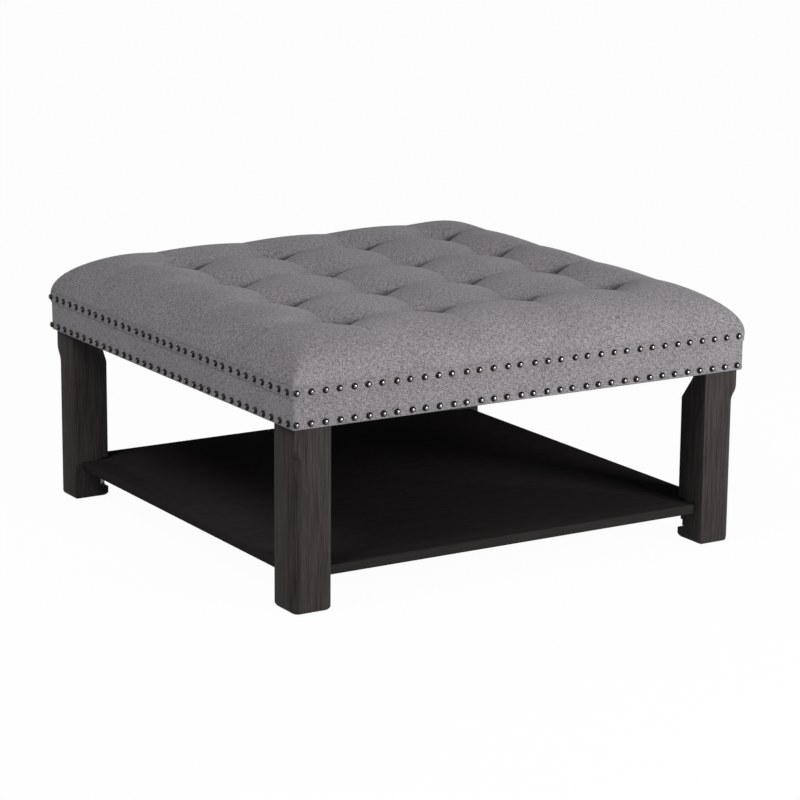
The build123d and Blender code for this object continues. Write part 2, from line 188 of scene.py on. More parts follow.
# The deck
# A sheet of thin plywood, screwed down on the rails, with a hole for each tuft's tie.
plywood_pale, plywood_deep, along_ply = (0.68, 0.53, 0.35), (0.5, 0.36, 0.21), 0.05
plywood = raw_wood("plywood", (along_ply, 1, 1), plywood_deep, plywood_pale)
clothe_nodes(plywood, "deck_panel")
clothe_nodes(zinc, "deck_screws")

# The foam block
# Firm open-cell foam laid on the deck under the crown, cut with a hot wire, so that its edges
# are a little soft. The ties of the tufts go through it.
join_within, flat_degrees, hard_degrees = 0.00001, 1, 35


def pick(*pieces):
    """Selects these pieces alone, the first one active."""
    bpy.ops.object.select_all(action="DESELECT")
    for piece in pieces:
        piece.select_set(True)
    bpy.context.view_layer.objects.active = pieces[0]


def merged_copy(node, name, ease, shape=None):
    """A CAD node's shape with its loose triangles joined, shaped further, and its hard edges eased."""
    pick(frame["nodes"][node])
    bpy.ops.object.duplicate()
    piece = bpy.context.object
    piece.name = piece.data.name = name
    del piece["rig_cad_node"]
    bpy.ops.mesh.customdata_custom_splitnormals_clear()
    bpy.ops.object.mode_set(mode="EDIT")
    bpy.ops.mesh.select_all(action="SELECT")
    bpy.ops.mesh.remove_doubles(threshold=join_within)
    bpy.ops.mesh.dissolve_limited(angle_limit=math.radians(flat_degrees))
    bpy.ops.object.mode_set(mode="OBJECT")
    if shape:
        shape(piece)
    eased = piece.modifiers.new("eased edges", "BEVEL")
    eased.width = ease
    eased.segments = 2
    eased.angle_limit = math.radians(hard_degrees)
    bpy.ops.object.modifier_apply(modifier="eased edges")
    bpy.ops.object.shade_smooth_by_angle(angle=math.radians(hard_degrees))
    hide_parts(node)
    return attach(piece, "root")


def open_foam():
    """Cream foam, pitted all over by its cells."""
    material, start, place = new_finish("open-cell foam")
    cells = start.node("ShaderNodeTexVoronoi", {"Vector": place, "Scale": 700})
    coat(start, height=cells, distance=0.0006, Roughness=0.95,
         Base_Color=cells.tint((0.6, 0.54, 0.38), (0.84, 0.79, 0.64)))
    return material


foam = merged_copy("foam_block", "foam_core", ease=0.0015)
clothe(foam, open_foam())

# Ties and washers of the tufts
# Waxed twine, knotted under a steel washer below the deck, pulls each tuft down.


def waxed_twine():
    """Pale twine with the turns of its strands."""
    material, start, place = new_finish("waxed twine")
    turns = start.noise(place, scale=1500, stretch=(1, 1, 0.5))
    coat(start, height=turns, distance=0.0003, Roughness=0.6,
         Base_Color=turns.tint((0.42, 0.37, 0.28), (0.72, 0.66, 0.55)))
    return material


clothe_nodes(waxed_twine(), "tuft_ties")
clothe_nodes(zinc, "tuft_washers")

# The tufted cushion
# A crowned pad of fibre over the foam, covered in a heathered grey cloth. Four by four blind
# tufts pull it down, with pleats between them and a sewn seam from each outer tuft to the edge.
# Shade is painted into the cloth's colour in each tuft's pocket.
half_side, crown_z, deck_z, tie_top = 0.432, 0.363, 0.3585, 0.3955
rise, crown_run, corner_blend, fuller_back = 0.086, 0.14, 5, 0.01
pleat_drop, tuft_drop, inner_drop = 0.0125, 0.037, 0.008
outer_fade, pit_power, inner_power = 1.4, 1.15, 3
bays = 5
pitch = 2 * half_side / bays
tufts = [pitch * (i + 1) - half_side for i in range(bays - 1)]


def bay(place):
    """Distance from the edge, the arch between pleats, and how much the pleats show there."""
    edge = half_side - np.abs(place)
    share = np.where(edge < pitch, 1 - edge / pitch, (edge / pitch) % 1)
    outer = edge < pitch
    arch = np.where(outer, 1 - (1 - share) ** 2, 4 * share * (1 - share))
    return edge, arch, np.where(outer, (1 - share) ** outer_fade, 1.0)


def quarter(edge):
    """The crown's climb from the edge inwards: a quarter of an ellipse, then level."""
    return np.sqrt(np.clip(1 - np.clip(1 - edge / crown_run, 0, 1) ** 2, 0, 1))


def crown_height(x, y):
    """The cushion's top: crowns blended at the hips, less pleats, tufts, pockets and seams."""
    edge_x, arch_x, shown_x = bay(x)
    edge_y, arch_y, shown_y = bay(y)
    low = 1e-6
    rise_x, rise_y = np.maximum(quarter(edge_x), low), np.maximum(quarter(edge_y), low)
    blend = (rise_x ** -corner_blend + rise_y ** -corner_blend - 1) ** (-1 / corner_blend)
    low_x, low_y = (1 - arch_x) * shown_y, (1 - arch_y) * shown_x
    dip = pleat_drop * (low_x + low_y) + (tuft_drop - 2 * pleat_drop) * (low_x * low_y) ** pit_power
    dip += inner_drop * (shown_x * shown_y) ** inner_power
    return crown_z + (rise + fuller_back * (x + y) - dip) * blend


def stations():
    """Grid lines across the cushion: close together at the rim and at each pleat."""
    rim = [0, 0.0003, 0.001, 0.0022, 0.004, 0.0065, 0.01, 0.0145, 0.02, 0.0265]
    fine = [0, 0.0009, 0.002, 0.0036, 0.006, 0.0095, 0.014, 0.0195, 0.026]
    step = 0.0066
    lines = [-half_side + r for r in rim]
    for mark in tufts + [half_side]:
        near = fine if mark < half_side else rim
        start = lines[-1]
        end = mark - near[-1]
        count = max(1, round((end - start) / step))
        lines += [start + (end - start) * k / count for k in range(1, count)]
        lines += [mark - f for f in near[::-1]]
        if mark < half_side:
            lines += [mark + f for f in near[1:]]
    return np.array(lines)


lines = stations()
line_count = len(lines)
grid_x, grid_y = np.meshgrid(lines, lines, indexing="ij")
top_points = np.stack([grid_x, grid_y, crown_height(grid_x, grid_y)], axis=-1)


def grid_faces(count):
    """The four-sided faces of a square grid of points, with this many points along each way."""
    index = np.arange(count * count).reshape(count, count)
    faces = np.stack([index[:-1, :-1], index[1:, :-1], index[1:, 1:], index[:-1, 1:]], axis=-1)
    return faces.reshape(-1, 4)


def mesh_piece(name, points, faces):
    """A new object made of these points and faces."""
    mesh = bpy.data.meshes.new(name)
    mesh.from_pydata(np.reshape(points, (-1, 3)).tolist(), [], [list(f) for f in faces])
    mesh.update()
    piece = bpy.data.objects.new(name, mesh)
    bpy.context.scene.collection.objects.link(piece)
    return piece


def nearest(place):
    """Distance to the nearest pleat line."""
    return np.min([np.abs(place - t) for t in tufts], axis=0)


def from_middle(x, y):
    """Distance from the table's middle, the same all along a square round it."""
    return np.maximum(np.abs(x), np.abs(y))


tuft_hold, pleat_hold, pleat_grip, rim_hold, least_hold = 0.009, 0.0025, 0.6, 0.0015, 0.02
most_swell, swell_frames, tiny = 0.006, 20, 1e-9


def swell(points):
    """Lets the cover swell under the fibre's pressure, held at its rim, pleats and tufts."""
    cover = mesh_piece("cover_in_work", points, grid_faces(line_count))
    held = cover.vertex_groups.new(name="held")
    x, y = points[..., 0].ravel(), points[..., 1].ravel()
    tuft = np.exp(-(nearest(x) ** 2 + nearest(y) ** 2) / tuft_hold ** 2)
    pleat = np.exp(-(np.minimum(nearest(x), nearest(y)) / pleat_hold) ** 2) * pleat_grip
    rim = (half_side - from_middle(x, y) < rim_hold) * 1.0
    hold = np.clip(np.maximum.reduce([tuft, pleat, rim]), 0, 1)
    for index in np.flatnonzero(hold > least_hold):
        held.add([int(index)], float(hold[index]), "REPLACE")
    cloth = cover.modifiers.new("fibre pressure", "CLOTH")
    cloth.settings.quality = 5
    cloth.settings.mass = 0.3
    cloth.settings.tension_stiffness = cloth.settings.compression_stiffness = 12
    cloth.settings.shear_stiffness = 4
    cloth.settings.bending_stiffness = 0.6
    cloth.settings.vertex_group_mass = "held"
    cloth.settings.pin_stiffness = 1
    cloth.settings.use_pressure = True
    cloth.settings.uniform_pressure_force = 4
    cloth.settings.effector_weights.gravity = 0
    for step in range(1, swell_frames + 1):
        bpy.context.scene.frame_set(step)
    pick(cover)
    bpy.ops.object.modifier_apply(modifier="fibre pressure")
    bpy.context.scene.frame_set(1)
    moved = np.zeros(len(cover.data.vertices) * 3)
    cover.data.vertices.foreach_get("co", moved)
    moved = moved.reshape(points.shape) - points
    bpy.data.objects.remove(cover)
    far = np.linalg.norm(moved, axis=-1, keepdims=True)
    return points + moved * np.minimum(1, most_swell / np.maximum(far, tiny))


top_points = swell(top_points)


def beside_tufts(place):
    """Distance back to the line of tufts on the left, and on to the next one on the right."""
    far_off = 2 * half_side
    past = np.min([np.where(place > t, place - t, far_off) for t in tufts], axis=0)
    short = np.min([np.where(place <= t, t - place, far_off) for t in tufts], axis=0)
    return past, short


pinch_depth, pinch_reach = 0.010, 0.012
tuck_depth, tuck_width, tuck_past, tuck_short, short_share = 0.018, 0.009, 0.036, 0.016, 0.6
fold_depth, fold_width, fold_run, least_fold = 0.0018, 0.0022, 0.045, 0.3
front_seam, side_seam, last_tuft = 0.4, 0.6, tufts[-1] + 0.001
rim_fade, tie_field, tie_slope, tie_climb = 0.004, half_side - 0.1, 0.4, 0.014


def close_folds(points):
    """Presses in what the pressure leaves soft: pockets at tufts, pleat folds and seams."""
    near_x, near_y = nearest(grid_x), nearest(grid_y)
    inside_x, inside_y = np.abs(grid_x) < last_tuft, np.abs(grid_y) < last_tuft
    out_to = from_middle(grid_x, grid_y)
    radius = np.hypot(near_x, near_y)
    fold = least_fold + (1 - least_fold) * np.exp(-(radius / fold_run) ** 2)
    press = pinch_depth * np.exp(-radius / pinch_reach)
    press += fold_depth * np.exp(-near_x / fold_width) * np.where(inside_y, fold, front_seam)
    press += fold_depth * np.exp(-near_y / fold_width) * np.where(inside_x, fold, side_seam)
    fade = np.clip((half_side - out_to) / rim_fade, 0, 1)
    across_x, across_y = np.gradient(points, axis=0), np.gradient(points, axis=1)
    normal = np.cross(across_x, across_y)
    normal /= np.maximum(np.linalg.norm(normal, axis=-1, keepdims=True), tiny)
    pressed = points - normal * (press * fade)[..., None]
    past, short = beside_tufts(grid_x)
    tuck = np.exp(-(past / tuck_past) ** 2) + short_share * np.exp(-(short / tuck_short) ** 2)
    tuck = np.exp(-near_y / tuck_width) * np.minimum(tuck, 1) * inside_y
    pressed[..., 2] -= tuck_depth * tuck
    lowest = tie_top + np.minimum(tie_slope * np.maximum(near_x, near_y), tie_climb)
    over_ties = np.maximum(pressed[..., 2], lowest)
    pressed[..., 2] = np.where(out_to < tie_field, over_ties, pressed[..., 2])
    return pressed


top_points = close_folds(top_points)
# Shade painted into each tuft's pocket: its half width from the first row of tufts to the last, its run
# past the tuft and before it, and how fast it darkens
pocket_half, pocket_run, pocket_start, pocket_slope = (0.034, 0.010), 0.06, 0.024, 1.6


def painted_shade_in_pockets():
    """How strongly shade is painted on each point in a tuft's pocket, which runs out along the pleat."""
    past, short = beside_tufts(grid_x)
    half_width = np.interp(grid_y, (tufts[0], tufts[-1]), pocket_half)
    opening = half_width * np.maximum(1 - past / pocket_run, 1 - short / pocket_start)
    depth = 1 - nearest(grid_y) / np.maximum(opening, tiny)
    return np.where(opening > 0, np.clip(depth * pocket_slope, 0, 1), 0)


def arc_lengths(points, axis):
    """Length along the cloth from its middle line, along one way of the grid."""
    step = np.linalg.norm(np.diff(points, axis=axis), axis=-1)
    run = np.insert(np.cumsum(step, axis=axis), 0, 0, axis=axis)
    return run - run.take([line_count // 2], axis=axis)


def lay_cloth(piece, uv):
    """Writes the cloth's own coordinates, in metres, to each corner of the piece's faces."""
    layer = piece.data.uv_layers.new(name="cloth")
    corner_of = np.zeros(len(piece.data.loops), int)
    piece.data.loops.foreach_get("vertex_index", corner_of)
    layer.data.foreach_set("uv", np.asarray(uv)[corner_of].astype(np.float32).ravel())


foam_wall, foam_room = 0.032, 0.03


def closed_cushion(points):
    """Closes the cover below: a lip down to the deck, a flat rim, and the hollow for the foam."""
    count = line_count * line_count
    index = np.arange(count).reshape(line_count, line_count)
    ring = np.concatenate([index[:-1, 0], index[-1, :-1], index[:0:-1, -1], index[0, :0:-1]])
    flat = points.reshape(-1, 3)
    lip = flat[ring].copy()
    lip[:, 2] = deck_z
    hollow, ceiling = half_side - foam_wall, deck_z + foam_room
    square = [(-hollow, -hollow), (hollow, -hollow), (hollow, hollow), (-hollow, hollow)]
    low = [(x, y, deck_z) for x, y in square]
    high = [(x, y, ceiling) for x, y in square]
    everything = np.concatenate([flat, lip, low, high])
    around = len(ring)
    lip_at, low_at, high_at = count, count + around, count + around + 4
    faces = grid_faces(line_count).tolist()
    for k in range(around):
        after = (k + 1) % around
        faces.append([ring[k], lip_at + k, lip_at + after, ring[after]])
    side = line_count - 1
    for s in range(4):
        edge = [lip_at + (s * side + k) % around for k in range(side + 1)]
        after = (s + 1) % 4
        faces.append(edge[::-1] + [low_at + s, low_at + after])
        faces.append([low_at + s, high_at + s, high_at + after, low_at + after])
    faces.append([high_at + s for s in (3, 2, 1, 0)])
    piece = mesh_piece("cushion_cover", everything, faces)
    uv = np.stack([arc_lengths(points, 0), arc_lengths(points, 1)], axis=-1).reshape(-1, 2)
    lay_cloth(piece, np.concatenate([uv, uv[ring], square, square]))
    # Shade painted into the cloth in each tuft's pocket, and none on the lip or the hollow
    dark = piece.data.attributes.new("shade_paint", "FLOAT", "POINT")
    no_shade_paint = np.zeros(len(everything) - count)
    dark.data.foreach_set("value", np.concatenate([painted_shade_in_pockets().ravel(), no_shade_paint]))
    return piece


def face_outwards(piece, hard_edge):
    """Turns a piece's faces outwards and shades it smooth, but for edges over this many degrees."""
    pick(piece)
    bpy.ops.object.mode_set(mode="EDIT")
    bpy.ops.mesh.select_all(action="SELECT")
    bpy.ops.mesh.normals_make_consistent(inside=False)
    bpy.ops.object.mode_set(mode="OBJECT")
    bpy.ops.object.shade_smooth_by_angle(angle=math.radians(hard_edge))


cushion = closed_cushion(top_points)
face_outwards(cushion, hard_edge=60)
thread_pair, slub_long, slub_thick = 0.0024, 120, 520
dark_fibre, light_fibre = (0.108, 0.1, 0.107), (0.325, 0.308, 0.326)
# Colour of the shade painted into the tuft pockets, and how much of it shows
shade_paint_tone, shade_paint_strength = (0.03, 0.028, 0.03), 0.65


def heathered_cloth():
    """Plain weave of mixed light and dark fibres, with thicker slubs along both ways, and shade painted
    dark into each tuft's pocket.
    """
    material, start, _ = new_finish("heathered grey cloth")
    cloth = start.node("ShaderNodeUVMap", {}, uv_map="cloth")
    across = start.node("ShaderNodeSeparateXYZ", {0: cloth}, 0)
    along = start.node("ShaderNodeSeparateXYZ", {0: cloth}, 1)
    turn = 2 * math.pi / thread_pair
    weave = (across * turn).sine() * (along * turn).sine() * 0.5 + 0.5
    weft = start.noise(cloth, scale=1, stretch=(slub_long, slub_thick, 1), roughness=0.6)
    warp = start.noise(cloth, scale=1, stretch=(slub_thick, slub_long, 1), roughness=0.6)
    speckle = start.noise(cloth, scale=1, stretch=(450, 450, 1), detail=1)
    clouds = start.noise(cloth, scale=1, stretch=(14, 14, 1))
    tone = (weft + warp) * 0.3 + speckle * 0.34 + clouds * 0.06
    shade = tone.ramp((0.415, 0), (0.585, 1))
    shade_paint = start.node("ShaderNodeAttribute", {}, "Fac", attribute_name="shade_paint")
    open_cloth = shade.tint(dark_fibre, light_fibre)
    # Painted shade: the cloth turns darker in each tuft's pocket
    colour = start.node("ShaderNodeMix", {0: shade_paint * shade_paint_strength, 6: open_cloth, 7: (*shade_paint_tone, 1)}, 2,
                        data_type="RGBA")
    coat(start, height=weave * 0.4 + (weft + warp) * 0.3, distance=0.0005, Base_Color=colour,
         Roughness=0.92, Specular_IOR_Level=0.2, Sheen_Weight=0.12, Sheen_Roughness=0.5)
    return material


grey_cloth = heathered_cloth()
clothe(cushion, grey_cloth)
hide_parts("tufted_cushion")
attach(cushion, "root")

# The apron
# The same cloth over a thin wadding, drawn down over the rails and stapled under them. Each
# lower nail pulls it in a little.
apron_z, apron_top, corner_r, corner_steps = 0.3, 0.3585, 0.005, 5
nails_in_row, lead, right_lead, tail = 34, 0.006, 0.013, 0.014
wander, wobble, slow_wave, quick_wave = 0.003, 0.0014, 4, 2.4
# Each side's first corner, as signs, and the way that the side runs from it
sides = {"front": ((-1, -1), (1, 0)), "right": ((1, -1), (0, 1)), "back": ((1, 1), (-1, 0)),
         "left": ((-1, 1), (0, -1))}


def nail_places(side, phase):
    """Places along one side, in metres from its first corner, as a hand spaced them."""
    first = right_lead if side == "right" else lead
    gap = (2 * half_side - first - tail) / (nails_in_row - 1)
    order = np.arange(nails_in_row)
    share = order / (nails_in_row - 1)
    drift = wander * np.sin(phase + slow_wave * share) + wobble * np.sin(quick_wave * order + phase)
    return first + gap * order + drift * np.sin(math.pi * share)


def side_spots(side, phase, height):
    """Every nail of one side's row: its place on the apron's face."""
    corner, ahead = np.array(sides[side])
    return [(*(corner * half_side + ahead * place), height) for place in nail_places(side, phase)]


def round_path(reach, step):
    """A square path with rounded corners, walked counter-clockwise: places, outward ways, run."""
    places, ways = [], []
    straight = reach - corner_r
    count = max(2, round(2 * straight / step))
    for _, (ahead_x, ahead_y) in sides.values():
        ahead, out = np.array((ahead_x, ahead_y)), np.array((ahead_y, -ahead_x))
        for k in range(count):
            places.append(out * reach + ahead * (-straight + 2 * straight * k / count))
            ways.append(out)
        for k in range(corner_steps):
            turn = math.pi / 2 * k / corner_steps
            way = out * math.cos(turn) + ahead * math.sin(turn)
            places.append((out + ahead) * straight + way * corner_r)
            ways.append(way)
    places, ways = np.array(places), np.array(ways)
    run = np.concatenate([[0], np.cumsum(np.linalg.norm(np.diff(places, axis=0), axis=1))])
    return places, ways, run


def swept_cloth(name, profile, reach, step, pull):
    """A ring of cloth: a closed profile of (outward, height) carried round the square path."""
    places, ways, run = round_path(reach, step)
    out, up = np.array(profile).T
    points = np.zeros((len(places), len(profile), 3))
    points[..., :2] = places[:, None] + ways[:, None] * out[None, :, None]
    points[..., 2] = up
    points[..., :2] -= ways[:, None] * pull(points)[..., None]
    index = np.arange(points[..., 0].size).reshape(points.shape[:2])
    after, next_one = np.roll(index, -1, axis=0), np.roll(index, -1, axis=1)
    faces = np.stack([index, after, np.roll(after, -1, axis=1), next_one], axis=-1).reshape(-1, 4)
    piece = mesh_piece(name, points, faces)
    girth = np.concatenate([[0], np.cumsum(np.hypot(np.diff(out), np.diff(up)))])
    uv = np.stack(np.broadcast_arrays(run[:, None], girth[None]), axis=-1).reshape(-1, 2)
    lay_cloth(piece, uv)
    face_outwards(piece, hard_edge=50)
    clothe(piece, grey_cloth)
    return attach(piece, "root")


def dimples(points, height, phases, depth, reach):
    """How far the nails of one row, all round the table, draw the cloth in."""
    flat = points.reshape(-1, 3)
    deepest = np.zeros(len(flat))
    for side, phase in zip(sides, phases):
        for spot in side_spots(side, phase, height):
            near = np.linalg.norm(flat - spot, axis=1)
            deepest = np.maximum(deepest, depth * np.exp(-(near / reach) ** 2))
    return deepest.reshape(points.shape[:2])


def arc(out, up, radius, degrees):
    """Points of (outward, height) round a centre, at these angles."""
    return [(out + radius * math.cos(a), up + radius * math.sin(a)) for a in map(math.radians, degrees)]


lower_z, lower_phases, lower_dimple, lower_reach = 0.309, (1, 3, 5, 7), 0.0011, 0.0075
slack, face_depth, face_steps, face_step = 0.0007, 0.004, 12, 0.0045
hem_turn, hem_run, hem_t, cloth_back = 0.0035, (0.009, 0.015, 0.021), 0.0015, 0.003


def apron_pull(points):
    """How far the cloth is drawn in: a dimple at each lower nail, and a slight slackness."""
    from_edge = (points[..., 2] - apron_z) / (apron_top - apron_z)
    pull = slack * np.sin(math.pi * np.clip(from_edge, 0, 1))
    pull += dimples(points, lower_z, lower_phases, lower_dimple, lower_reach)
    return pull * (from_middle(points[..., 0], points[..., 1]) > half_side - face_depth)


def apron_profile():
    """Down the outer face, round the lower edge, and in under the rail as the hem."""
    face = [(0, apron_top - face_step * k) for k in range(face_steps)]
    bend = arc(-hem_turn, apron_z + hem_turn, hem_turn, (0, -18, -36, -54, -72, -90))
    hem = [(-run, apron_z) for run in hem_run]
    back = [(-hem_run[-1], apron_z + hem_t), (-cloth_back, apron_z + hem_t), (-cloth_back, apron_top)]
    return face + bend + hem + back


apron = swept_cloth("apron_cloth", apron_profile(), half_side, 0.0042, apron_pull)
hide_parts("apron_cover")

# The nail band
# A narrow strip of the cloth, its edges folded in, laid over the joint between the cushion and
# the apron. The upper row of nails holds it.
band_low, band_high, band_t, band_seat = 0.35, 0.368, 0.0012, 0.0003
fold_in, fold_crest, fold_rise, strip_step, strip_steps = 0.003, 0.0015, 0.0002, 0.002, 5
upper_z, upper_phases, upper_dimple, upper_reach = 0.359, (4, 5, 6, 7), 0.0004, 0.006
outer_share = 0.6


def band_profile():
    """A flat strip with its two folded edges rounded and a little thicker."""
    r, flat_t = band_t * 0.5, band_t - fold_rise
    outer = [(flat_t, band_low + fold_in), (band_t, band_low + fold_crest)]
    low_edge = arc(band_t - r, band_low + r, r, (-10, -45, -90, -135, -170))
    high_edge = arc(band_t - r, band_high - r, r, (170, 135, 90, 45, 10))
    face = [(band_t, band_high - fold_crest), (flat_t, band_high - fold_in)]
    middle = [(flat_t, band_high - fold_in - strip_step * k) for k in range(1, strip_steps + 1)]
    return outer + low_edge + high_edge + face + middle


def band_pull(points):
    """How far the band is drawn in: a shallow dimple at each upper nail."""
    pull = dimples(points, upper_z, upper_phases, upper_dimple, upper_reach)
    outer_face = half_side + (band_seat + band_t) * outer_share
    return pull * (from_middle(points[..., 0], points[..., 1]) > outer_face)


band = swept_cloth("nail_band_strip", band_profile(), half_side + band_seat, 0.005, band_pull)
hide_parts("nail_band")

# Nailheads
# Two rows on each side of small domed heads in black nickel, dented a little by the hammer and
# set by hand, so not quite evenly.
head_r, head_rise, hand_turn = 0.0052, 0.0042, 0.9


def nailhead():
    """One domed head with its flat seat on the XY plane, made from the top of a ball."""
    bpy.ops.object.select_all(action="DESELECT")
    bpy.ops.mesh.primitive_uv_sphere_add(segments=12, ring_count=8, radius=head_r)
    head = bpy.context.object
    bpy.ops.object.mode_set(mode="EDIT")
    bpy.ops.mesh.select_all(action="SELECT")
    bpy.ops.mesh.bisect(plane_co=(0, 0, 0), plane_no=(0, 0, 1), use_fill=True, clear_inner=True)
    bpy.ops.mesh.select_all(action="SELECT")
    bpy.ops.transform.resize(value=(1, 1, head_rise / head_r))
    bpy.ops.object.mode_set(mode="OBJECT")
    bpy.ops.object.shade_smooth_by_angle(angle=math.radians(60))
    return head


def black_nickel():
    """Black nickel plate, with a glint painted brighter on the crown of each head."""
    material, start, place = new_finish("black nickel")
    dents = start.noise(place, scale=330, detail=1)
    x, y, z = (start.node("ShaderNodeSeparateXYZ", {0: place}, axis) for axis in range(3))
    out_x, out_y = x.maths("MAXIMUM", x, 0 - x), y.maths("MAXIMUM", y, 0 - y)
    between_rows = (lower_z + upper_z) / 2
    seat = z.maths("GREATER_THAN", z, between_rows) * (band_seat + band_t) + half_side
    stands_out = (x.maths("MAXIMUM", out_x, out_y) - seat) * (1 / head_rise)
    # Painted glint: the crown of each head is coloured brighter where it stands out furthest
    painted_glint = stands_out.ramp((0.92, 0), (0.995, 1)) * (0.4 + dents)
    coat(start, height=dents, distance=0.0003, Roughness=0.14 + dents * 0.08, Metallic=1.0,
         Base_Color=painted_glint.tint((0.016, 0.016, 0.017), (0.27, 0.26, 0.25)), Specular_Tint=(0.1, 0.1, 0.1, 1))
    return material


nickel = black_nickel()
pattern_head = nailhead()


def nail_row(level, side, height, stand, phase):
    """Copies of the head along one side, joined as one piece."""
    ahead_x, ahead_y = sides[side][1]
    out = Vector((ahead_y, -ahead_x, 0))
    turned = out.to_track_quat("Z", "Y").to_matrix().to_4x4()
    heads = []
    for k, spot in enumerate(side_spots(side, phase, height)):
        head = pattern_head.copy()
        head.data = pattern_head.data.copy()
        bpy.context.scene.collection.objects.link(head)
        seat = Matrix.Translation(Vector(spot) + out * stand)
        head.matrix_world = seat @ turned @ Matrix.Rotation(k * hand_turn, 4, "Z")
        heads.append(head)
    pick(*heads)
    bpy.ops.object.join()
    row = bpy.context.object
    row.name = row.data.name = f"heads_{level}_{side}"
    bpy.ops.object.transform_apply(location=True, rotation=True, scale=True)
    clothe(row, nickel)
    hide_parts(f"nails_{level}_{side}")
    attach(row, "root")


for side, low_phase, high_phase in zip(sides, lower_phases, upper_phases):
    nail_row("upper", side, upper_z, band_seat + band_t, high_phase)
    nail_row("lower", side, lower_z, 0, low_phase)
bpy.data.objects.remove(pattern_head)

# Legs
# Square posts of open-grained wood with a dark charcoal-brown stain. The outer edge is
# chamfered up to an S-curve, and two hanger bolts hold each post to its corner block.


def stained_wood(name, stretch, roughness, specular, tones):
    """A dark stain that the pores take up more than the wood between them."""
    material, start, place = new_finish(name)
    pores = start.noise(place, scale=520, stretch=stretch, detail=4, roughness=0.65)
    streaks = start.noise(place, scale=130, stretch=stretch, detail=3, roughness=0.6)
    clouds = start.noise(place, scale=9)
    grain = pores.ramp((0.34, 0), (0.68, 1)) * 0.6 + streaks.ramp((0.3, 0), (0.72, 1)) * 0.4
    stain = grain * 0.85 + clouds * 0.15
    coat(start, height=grain, distance=0.00025, Base_Color=stain.tint(*tones),
         Roughness=roughness + grain * 0.12, Specular_IOR_Level=specular)
    return material


leg_in, flat_depth, flat_low, flat_high, frame_low = 0.36, 0.0204, 0.2475, 0.286, 0.3
saw_low, saw_width, saw_spare, same_height = 0.24, 0.12, 0.01, 0.0001
foot_edges_below, foot_round = 0.0075, 0.0027


def shape_leg(piece):
    """Saws the corner block's flat out to the inner edge in a straight slope, and rounds the foot."""
    sign_x = math.copysign(1, piece.bound_box[0][0])
    sign_y = math.copysign(1, piece.bound_box[0][1])
    outward = Vector((sign_x, sign_y, 0)).normalized()
    inner_edge = Vector((sign_x * leg_in, sign_y * leg_in, 0))
    bpy.ops.object.select_all(action="DESELECT")
    middle = inner_edge + outward * (flat_depth - saw_spare) / 2 + Vector((0, 0, (saw_low + frame_low) / 2))
    bpy.ops.mesh.primitive_cube_add(size=1, location=middle, rotation=(0, 0, math.atan2(sign_y, sign_x)),
                                    scale=(flat_depth + saw_spare, saw_width,
                                           frame_low - saw_low + same_height))
    saw = bpy.context.object
    bpy.ops.object.transform_apply(location=True, rotation=True, scale=True)
    bpy.ops.object.mode_set(mode="EDIT")
    bpy.ops.mesh.select_all(action="SELECT")
    slope = outward * (flat_low - flat_high) + Vector((0, 0, flat_depth))
    bpy.ops.mesh.bisect(plane_co=inner_edge + Vector((0, 0, flat_low)), plane_no=slope.normalized(),
                        use_fill=True, clear_inner=True)
    bpy.ops.mesh.select_all(action="SELECT")
    bpy.ops.mesh.normals_make_consistent(inside=False)
    bpy.ops.object.mode_set(mode="OBJECT")
    pick(piece)
    cut = piece.modifiers.new("sawn flat", "BOOLEAN")
    cut.operation = "DIFFERENCE"
    cut.object = saw
    cut.solver = "EXACT"
    bpy.ops.object.modifier_apply(modifier="sawn flat")
    bpy.data.objects.remove(saw)
    for edge in piece.data.edges:
        first, last = (piece.data.vertices[v].co.z for v in edge.vertices)
        edge.select = max(first, last) < foot_edges_below and abs(first - last) < same_height
    for face in piece.data.polygons:
        face.select = False
    for vertex in piece.data.vertices:
        vertex.select = False
    bpy.ops.object.mode_set(mode="EDIT")
    bpy.ops.mesh.select_mode(type="EDGE")
    bpy.ops.mesh.bevel(offset=foot_round, segments=3)
    bpy.ops.mesh.select_mode(type="VERT")
    bpy.ops.object.mode_set(mode="OBJECT")


leg_stain = stained_wood("dark stain on the legs", (1, 1, 0.035), roughness=0.5, specular=0.02,
                         tones=((0.018, 0.0155, 0.015), (0.068, 0.061, 0.059)))
for corner in corners:
    leg = merged_copy("leg_" + corner, "post_" + corner, ease=0.0009, shape=shape_leg)
    clothe(leg, leg_stain)
clothe_nodes(zinc, "hanger_bolts", "hanger_washers", "hanger_nuts")

# The dust cover
# Thin black non-woven cloth, cut round the legs, drawn tight and stapled up under the frame.
dust_reach, leg_clear, dust_top, dust_t = 0.422, 0.3597, 0.2999, 0.0005
middle_lines, end_lines, sag, sag_run, sag_power = 49, 5, 0.004, 0.4, 0.7
ripple_height, ripples_x, ripples_y, ripple_phase = 0.0006, 70, 55, 1


